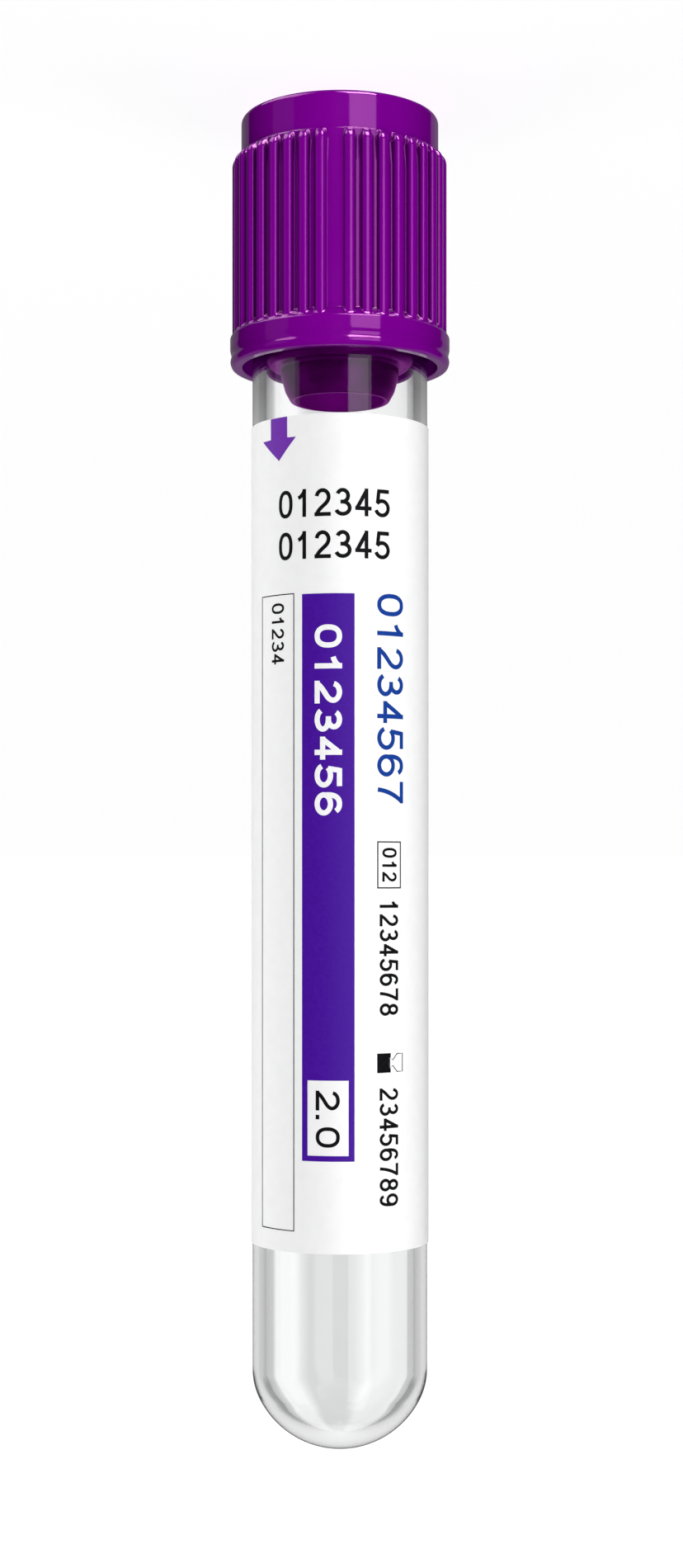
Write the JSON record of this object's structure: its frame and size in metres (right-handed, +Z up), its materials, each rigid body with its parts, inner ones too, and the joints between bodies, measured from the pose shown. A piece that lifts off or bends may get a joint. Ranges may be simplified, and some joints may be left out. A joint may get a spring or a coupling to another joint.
{
  "type": "blood collection tube",
  "caption": "Clear round-ended sample tube with a wrapped label, closed by a ribbed pull-off cap that holds a rubber stopper.",
  "frame": {"origin": "on the tube's axis, in the plane of the crown's rim, on which the object stands upside down", "axes": "+Z up along the tube's axis towards the round end; -Y out of the middle of the label's front"},
  "size_m": [0.0164, 0.0164, 0.0987],
  "materials": {
    "clear_polyester": "gloss",
    "label_film": "satin",
    "cap_polyethylene": "gloss",
    "stopper_rubber": "satin"
  },
  "bodies": {
    "closure": {"cap": "cap_polyethylene", "stopper": "stopper_rubber"},
    "tube_body": {"tube": "clear_polyester", "label": "label_film"}
  },
  "joints": [
    {"name": "closure_pull", "type": "slide", "parent": "closure", "child": "tube_body", "axis": [0, 0, 1], "range_m": [0, 0.03]}
  ]
}
